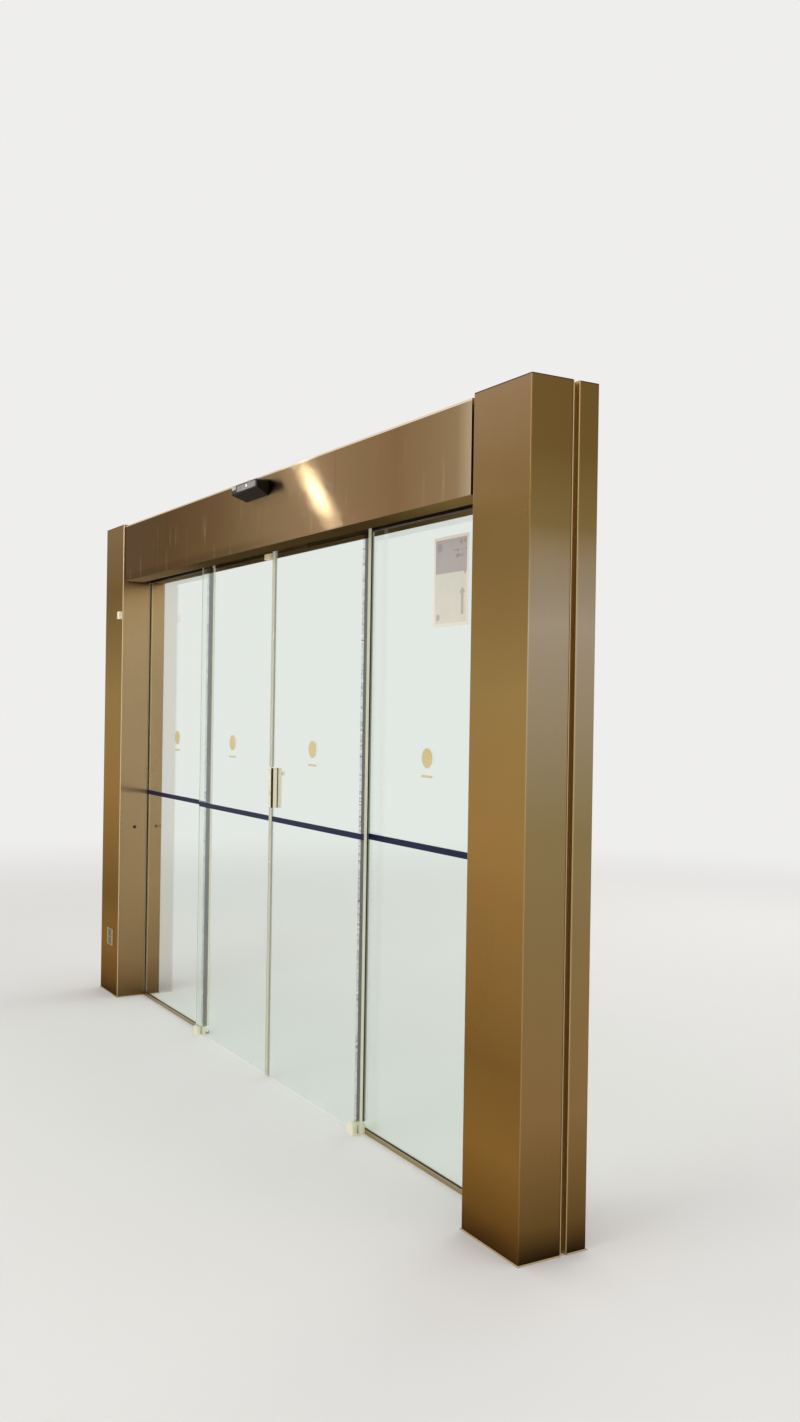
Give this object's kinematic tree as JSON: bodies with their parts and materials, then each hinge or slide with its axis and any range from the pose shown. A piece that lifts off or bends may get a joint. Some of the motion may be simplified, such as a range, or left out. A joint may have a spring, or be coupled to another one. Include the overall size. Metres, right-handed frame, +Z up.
{
  "type": "glass entrance door",
  "caption": "Automatic sliding glass entrance door in a stainless portal, with fixed side lites, belt drive in the header, motion sensors, floor guides and a patch lock.",
  "frame": {"origin": "on the floor, in the middle of the doorway, in the plane of the sliding glass", "axes": "+X along the doorway, +Y through it from front to rear, +Z up"},
  "size_m": [3.9, 0.348, 2.5],
  "materials": {
    "stainless": "vertical brushed grain",
    "primed_steel": "matt primer",
    "zinc_steel": "zinc plated",
    "aluminium": "anodised",
    "clear_glass": "polished edges",
    "black_rubber": "matt",
    "brush_black": "brush pile",
    "clear_seal": "clear soft plastic",
    "blue_film": "film",
    "nylon": "moulded",
    "cream_plastic": "moulded",
    "sensor_black": "moulded",
    "sensor_window": "smoked window",
    "dark_plastic": "moulded",
    "motor_grey": "powder coat",
    "control_grey": "moulded",
    "satin_steel": "satin",
    "notice_paper": "laminated sheet"
  },
  "bodies": {
    "frame": {"left_post_front": "stainless", "left_post_rear": "stainless", "left_post_core": "primed_steel", "right_post_front": "stainless", "right_post_rear": "stainless", "right_post_core": "primed_steel", "post_channels": "aluminium", "header_cover": "stainless", "header_rear_casing": "stainless", "header_beam": "primed_steel", "cover_ribs": "zinc_steel", "top_glazing_channel": "aluminium", "head_channels": "aluminium", "floor_channels": "aluminium", "left_fixed_glass": "clear_glass", "right_fixed_glass": "clear_glass", "glazing_gaskets": "black_rubber", "brush_seals": "brush_black", "left_floor_guide": "nylon", "right_floor_guide": "nylon", "track_rail": "aluminium", "end_stops": "black_rubber", "drive_motor": "motor_grey", "motor_bracket": "zinc_steel", "idler_bracket": "zinc_steel", "drive_belt": "black_rubber", "control_unit": "control_grey", "front_sensor": "sensor_black", "rear_sensor": "sensor_black", "sensor_windows": "sensor_window", "photocells": "dark_plastic", "service_plate": "stainless", "socket_inserts": "dark_plastic", "contact_box": "cream_plastic", "notice_sheet": "notice_paper", "fixed_strips": "blue_film"},
    "left_leaf": {"left_leaf_glass": "clear_glass", "left_leaf_rail": "aluminium", "left_carriages": "zinc_steel", "left_belt_clamp": "zinc_steel", "left_edge_seal": "clear_seal", "left_leaf_strip": "blue_film", "lock_keeper": "satin_steel", "door_contact": "cream_plastic"},
    "right_leaf": {"right_leaf_glass": "clear_glass", "right_leaf_rail": "aluminium", "right_carriages": "zinc_steel", "right_belt_clamp": "zinc_steel", "right_edge_seal": "clear_seal", "right_leaf_strip": "blue_film", "lock_case": "satin_steel", "lock_cylinder": "satin_steel"},
    "left_inner_wheel": {"left_inner_wheel": "nylon"},
    "left_outer_wheel": {"left_outer_wheel": "nylon"},
    "right_inner_wheel": {"right_inner_wheel": "nylon"},
    "right_outer_wheel": {"right_outer_wheel": "nylon"},
    "drive_pulley": {"drive_pulley": "aluminium"},
    "idler_pulley": {"idler_pulley": "aluminium"},
    "lock_bolt": {"lock_bolt": "satin_steel"},
    "lock_turn": {"lock_turn": "satin_steel"}
  },
  "joints": [
    {"name": "left_leaf_slide", "type": "slide", "parent": "frame", "child": "left_leaf", "axis": [-1, 0, 0], "range_m": [0, 0.688]},
    {"name": "right_leaf_slide", "type": "slide", "parent": "frame", "child": "right_leaf", "axis": [1, 0, 0], "range_m": [0, 0.688]},
    {"name": "left_inner_wheel_spin", "type": "hinge", "parent": "left_leaf", "child": "left_inner_wheel", "pos_m": [-0.15, 0, 2.327], "axis": [0, 1, 0], "range_deg": [-1460, 0]},
    {"name": "left_outer_wheel_spin", "type": "hinge", "parent": "left_leaf", "child": "left_outer_wheel", "pos_m": [-0.667, 0, 2.327], "axis": [0, 1, 0], "range_deg": [-1460, 0]},
    {"name": "right_inner_wheel_spin", "type": "hinge", "parent": "right_leaf", "child": "right_inner_wheel", "pos_m": [0.15, 0, 2.327], "axis": [0, 1, 0], "range_deg": [0, 1460]},
    {"name": "right_outer_wheel_spin", "type": "hinge", "parent": "right_leaf", "child": "right_outer_wheel", "pos_m": [0.667, 0, 2.327], "axis": [0, 1, 0], "range_deg": [0, 1460]},
    {"name": "drive_pulley_spin", "type": "hinge", "parent": "frame", "child": "drive_pulley", "pos_m": [1.4, -0.002, 2.388], "axis": [0, 1, 0], "range_deg": [0, 1490]},
    {"name": "idler_pulley_spin", "type": "hinge", "parent": "frame", "child": "idler_pulley", "pos_m": [-1.4, -0.002, 2.388], "axis": [0, 1, 0], "range_deg": [0, 1490]},
    {"name": "lock_turn_hinge", "type": "hinge", "parent": "right_leaf", "child": "lock_turn", "pos_m": [0.048, 0, 1.276], "axis": [0, 1, 0], "range_deg": [0, 90]},
    {"name": "lock_bolt_slide", "type": "slide", "parent": "right_leaf", "child": "lock_bolt", "axis": [-1, 0, 0], "range_m": [0, 0.0201]}
  ],
  "couplings": [
    {"joint": "right_leaf_slide", "follows": "left_leaf_slide", "ratio": 1},
    {"joint": "left_inner_wheel_spin", "follows": "left_leaf_slide", "rad_per_m": -37.037},
    {"joint": "left_outer_wheel_spin", "follows": "left_leaf_slide", "rad_per_m": -37.037},
    {"joint": "right_inner_wheel_spin", "follows": "left_leaf_slide", "rad_per_m": 37.037},
    {"joint": "right_outer_wheel_spin", "follows": "left_leaf_slide", "rad_per_m": 37.037},
    {"joint": "drive_pulley_spin", "follows": "left_leaf_slide", "rad_per_m": 37.736},
    {"joint": "idler_pulley_spin", "follows": "left_leaf_slide", "rad_per_m": 37.736},
    {"joint": "lock_bolt_slide", "follows": "lock_turn_hinge", "m_per_rad": 0.012732}
  ]
}
